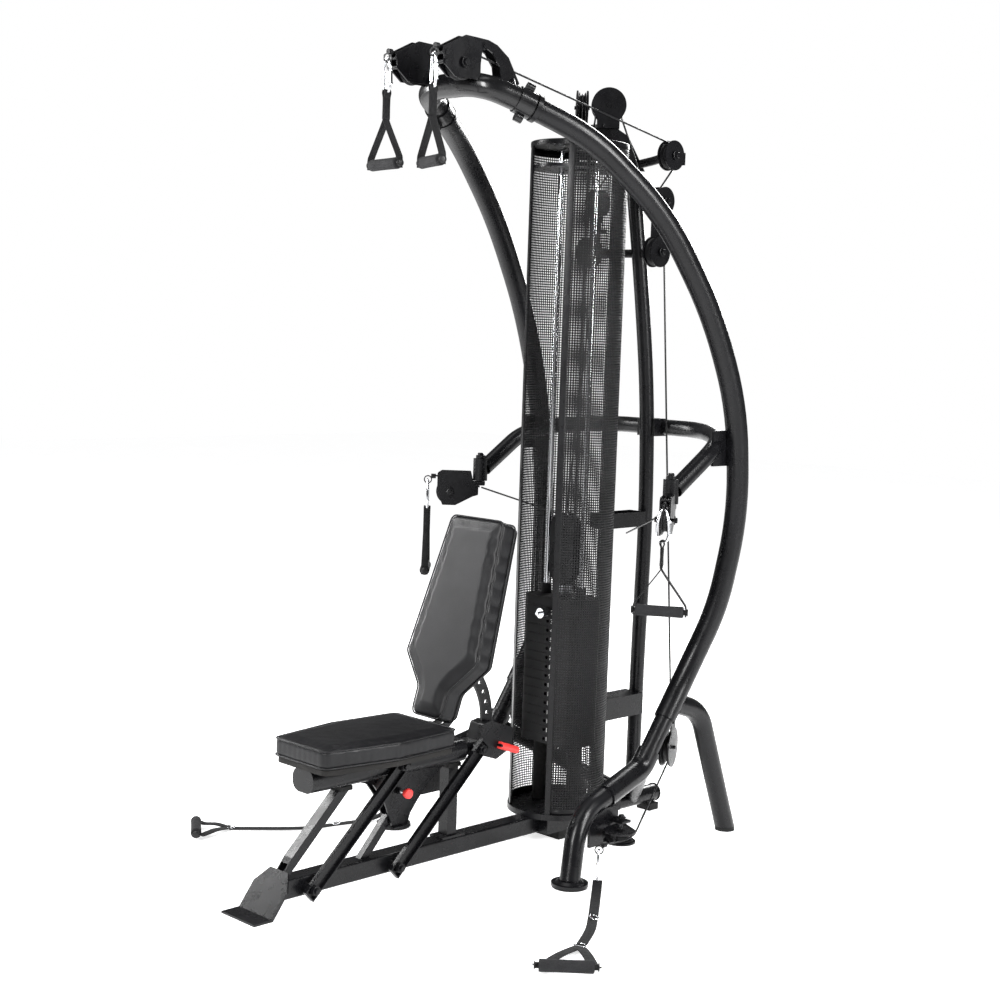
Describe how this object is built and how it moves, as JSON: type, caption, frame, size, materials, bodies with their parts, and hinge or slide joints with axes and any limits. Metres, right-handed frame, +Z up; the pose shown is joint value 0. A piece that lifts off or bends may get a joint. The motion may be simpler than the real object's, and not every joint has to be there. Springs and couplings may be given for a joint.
{
  "type": "multi station home gym",
  "caption": "Home gym with bowed arches, nose with high pulleys, swivelling mid pulleys, low pulleys, a guided weight stack in a round mesh tower and a riding bench with reclining back.",
  "frame": {"origin": "on the floor, on the plane of symmetry, in the middle of the footplate's lip", "axes": "+Z up, +X to the side with the red release lever, +Y from the footplate towards the weight tower"},
  "size_m": [1.4901, 1.5459, 2.124],
  "materials": {
    "frame_paint": "satin black powder coat",
    "dark_gloss": "gloss black paint",
    "mesh_paint": "perforated sheet, powder coated",
    "plate_paint": "satin dark grey weight plate",
    "chrome": "polished",
    "steel": "zinc plated",
    "pulley_nylon": "moulded nylon",
    "black_rubber": "moulded rubber",
    "grip_foam": "foam grip",
    "webbing": "woven nylon webbing with plated carabiner",
    "vinyl": "padded vinyl",
    "board": "painted plywood",
    "red_grip": "red moulded grip",
    "coated_cable": "plastic coated steel cable"
  },
  "bodies": {
    "frame": {"arch_right": "frame_paint", "arch_left": "frame_paint", "nose_tube": "dark_gloss", "nose_collars": "frame_paint", "leg_right": "frame_paint", "leg_left": "frame_paint", "rear_legs": "frame_paint", "footplate": "frame_paint", "base_frame": "frame_paint", "column": "frame_paint", "mid_hoop": "frame_paint", "frame_brackets": "frame_paint", "mesh_panels": "mesh_paint", "panel_trims": "frame_paint", "tower_cap": "frame_paint", "guide_rods": "chrome", "stack_bumpers": "black_rubber", "weight_stack": "plate_paint", "top_bridge": "frame_paint", "idler_brackets": "frame_paint", "idler_pulleys": "pulley_nylon", "high_brackets": "frame_paint", "low_block_right": "frame_paint", "low_block_left": "frame_paint", "station_cables": "coated_cable", "stack_cables": "coated_cable", "rubber_feet": "black_rubber", "low_handles": "webbing"},
    "stack": {"head_plate": "plate_paint", "selector_stem": "steel", "floating_block": "frame_paint"},
    "selector_pin": {"selector_pin": "chrome"},
    "floating_pulley": {"floating_pulley": "pulley_nylon"},
    "top_pulley_right": {"top_pulley_right": "pulley_nylon"},
    "top_pulley_left": {"top_pulley_left": "pulley_nylon"},
    "high_pulley_right": {"high_pulley_right": "pulley_nylon"},
    "high_pulley_left": {"high_pulley_left": "pulley_nylon"},
    "mid_block_right": {"mid_block_right": "frame_paint"},
    "mid_block_left": {"mid_block_left": "frame_paint"},
    "mid_pulley_right": {"mid_pulley_right": "pulley_nylon"},
    "mid_pulley_left": {"mid_pulley_left": "pulley_nylon"},
    "low_pulley_right": {"low_pulley_right": "pulley_nylon"},
    "low_pulley_left": {"low_pulley_left": "pulley_nylon"},
    "high_right_handle": {"high_right_handle": "webbing"},
    "high_left_handle": {"high_left_handle": "webbing"},
    "mid_right_handle": {"mid_right_handle": "webbing"},
    "mid_left_handle": {"mid_left_handle": "webbing"},
    "high_right_grip": {"high_right_grip": "grip_foam"},
    "high_left_grip": {"high_left_grip": "grip_foam"},
    "mid_right_grip": {"mid_right_grip": "grip_foam"},
    "mid_left_grip": {"mid_left_grip": "grip_foam"},
    "mid_link": {"ride_link_mid": "frame_paint"},
    "rear_link": {"ride_link_rear": "frame_paint"},
    "bench": {"bench_frame": "frame_paint", "seat_board": "board", "seat_pad": "vinyl"},
    "back": {"back_frame": "frame_paint", "back_pad": "vinyl"},
    "release_lever": {"release_lever": "red_grip"},
    "ride_pin": {"ride_pin": "red_grip"}
  },
  "joints": [
    {"name": "stack_lift", "type": "slide", "parent": "frame", "child": "stack", "axis": [0, 0, 1], "range_m": [0, 0.85], "deforming": ["stack_cables"]},
    {"name": "selector_pin_pull", "type": "slide", "parent": "stack", "child": "selector_pin", "axis": [0, -1, 0], "range_m": [0, 0.09]},
    {"name": "floating_pulley_spin", "type": "hinge", "parent": "stack", "child": "floating_pulley", "pos_m": [0, 1.07, 0.867], "axis": [0, 1, 0], "continuous": true},
    {"name": "top_pulley_right_spin", "type": "hinge", "parent": "frame", "child": "top_pulley_right", "pos_m": [0.049, 1.125, 2.026], "axis": [0.7071, -0.7071, 0], "continuous": true},
    {"name": "top_pulley_left_spin", "type": "hinge", "parent": "frame", "child": "top_pulley_left", "pos_m": [-0.049, 1.125, 2.026], "axis": [0.7071, 0.7071, 0], "continuous": true},
    {"name": "high_pulley_right_spin", "type": "hinge", "parent": "frame", "child": "high_pulley_right", "pos_m": [0.085, 0.528, 2.058], "axis": [1, 0, 0], "continuous": true},
    {"name": "high_pulley_left_spin", "type": "hinge", "parent": "frame", "child": "high_pulley_left", "pos_m": [-0.085, 0.528, 2.058], "axis": [1, 0, 0], "continuous": true},
    {"name": "mid_block_right_swivel", "type": "hinge", "parent": "frame", "child": "mid_block_right", "pos_m": [0.357, 1.082, 0.99], "axis": [0, 0, 1], "range_deg": [-38, 62]},
    {"name": "mid_block_left_swivel", "type": "hinge", "parent": "frame", "child": "mid_block_left", "pos_m": [-0.357, 1.082, 0.99], "axis": [0, 0, 1], "range_deg": [-50, 50]},
    {"name": "mid_pulley_right_spin", "type": "hinge", "parent": "mid_block_right", "child": "mid_pulley_right", "pos_m": [0.40493, 1.0082, 0.938], "axis": [0.8387, 0.5446, 0], "continuous": true},
    {"name": "mid_pulley_left_spin", "type": "hinge", "parent": "mid_block_left", "child": "mid_pulley_left", "pos_m": [-0.41923, 1.01978, 0.938], "axis": [0.7071, -0.7071, 0], "continuous": true},
    {"name": "low_pulley_right_spin", "type": "hinge", "parent": "frame", "child": "low_pulley_right", "pos_m": [0.382, 0.903, 0.116], "axis": [0, 0, 1], "continuous": true},
    {"name": "low_pulley_left_spin", "type": "hinge", "parent": "frame", "child": "low_pulley_left", "pos_m": [-0.382, 0.903, 0.116], "axis": [0, 0, 1], "continuous": true},
    {"name": "high_right_handle_swing", "type": "hinge", "parent": "frame", "child": "high_right_handle", "pos_m": [0.085, 0.443, 2.072], "axis": [-0.9386, 0.345, 0], "range_deg": [-5, 40]},
    {"name": "high_left_handle_swing", "type": "hinge", "parent": "frame", "child": "high_left_handle", "pos_m": [-0.085, 0.443, 2.072], "axis": [-0.9868, 0.1619, 0], "range_deg": [-5, 40]},
    {"name": "mid_right_handle_swing", "type": "hinge", "parent": "mid_block_right", "child": "mid_right_handle", "pos_m": [0.43978, 0.95452, 0.97], "axis": [-0.8387, -0.5446, 0], "range_deg": [-5, 40]},
    {"name": "mid_left_handle_swing", "type": "hinge", "parent": "mid_block_left", "child": "mid_left_handle", "pos_m": [-0.46448, 0.97452, 0.97], "axis": [-0.7071, 0.7071, 0], "range_deg": [-5, 40]},
    {"name": "high_right_grip_spin", "type": "hinge", "parent": "high_right_handle", "child": "high_right_grip", "pos_m": [0.085, 0.443, 1.812], "axis": [0.9386, -0.345, 0], "continuous": true},
    {"name": "high_left_grip_spin", "type": "hinge", "parent": "high_left_handle", "child": "high_left_grip", "pos_m": [-0.085, 0.443, 1.812], "axis": [0.9868, -0.1619, 0], "continuous": true},
    {"name": "mid_right_grip_spin", "type": "hinge", "parent": "mid_right_handle", "child": "mid_right_grip", "pos_m": [0.43978, 0.95452, 0.71], "axis": [0.8387, 0.5446, 0], "continuous": true},
    {"name": "mid_left_grip_spin", "type": "hinge", "parent": "mid_left_handle", "child": "mid_left_grip", "pos_m": [-0.46448, 0.97452, 0.71], "axis": [-0.7071, 0.7071, 0], "continuous": true},
    {"name": "bench_ride", "type": "hinge", "parent": "frame", "child": "mid_link", "pos_m": [0, 0.16, 0.045], "axis": [1, 0, 0], "range_deg": [0, 20]},
    {"name": "bench_level", "type": "hinge", "parent": "mid_link", "child": "bench", "pos_m": [0, 0.441, 0.308], "axis": [1, 0, 0], "range_deg": [-20, 0]},
    {"name": "rear_link_follow", "type": "hinge", "parent": "frame", "child": "rear_link", "pos_m": [0, 0.435, 0.045], "axis": [1, 0, 0], "range_deg": [0, 20]},
    {"name": "back_recline", "type": "hinge", "parent": "bench", "child": "back", "pos_m": [0, 0.6, 0.372], "axis": [-1, 0, 0], "range_deg": [-5, 12]},
    {"name": "release_lever_lift", "type": "hinge", "parent": "bench", "child": "release_lever", "pos_m": [0.0305, 0.804, 0.302], "axis": [1, 0, 0], "range_deg": [0, 18]},
    {"name": "ride_pin_push", "type": "slide", "parent": "bench", "child": "ride_pin", "axis": [-1, 0, 0], "range_m": [0, 0.014]}
  ],
  "couplings": [
    {"joint": "floating_pulley_spin", "follows": "stack_lift", "rad_per_m": 30.7},
    {"joint": "top_pulley_right_spin", "follows": "stack_lift", "rad_per_m": -30.5},
    {"joint": "top_pulley_left_spin", "follows": "stack_lift", "rad_per_m": -30.5},
    {"joint": "high_pulley_right_spin", "follows": "stack_lift", "rad_per_m": 30.5},
    {"joint": "high_pulley_left_spin", "follows": "stack_lift", "rad_per_m": 30.5},
    {"joint": "bench_level", "follows": "bench_ride", "ratio": -1},
    {"joint": "rear_link_follow", "follows": "bench_ride", "ratio": 1}
  ]
}
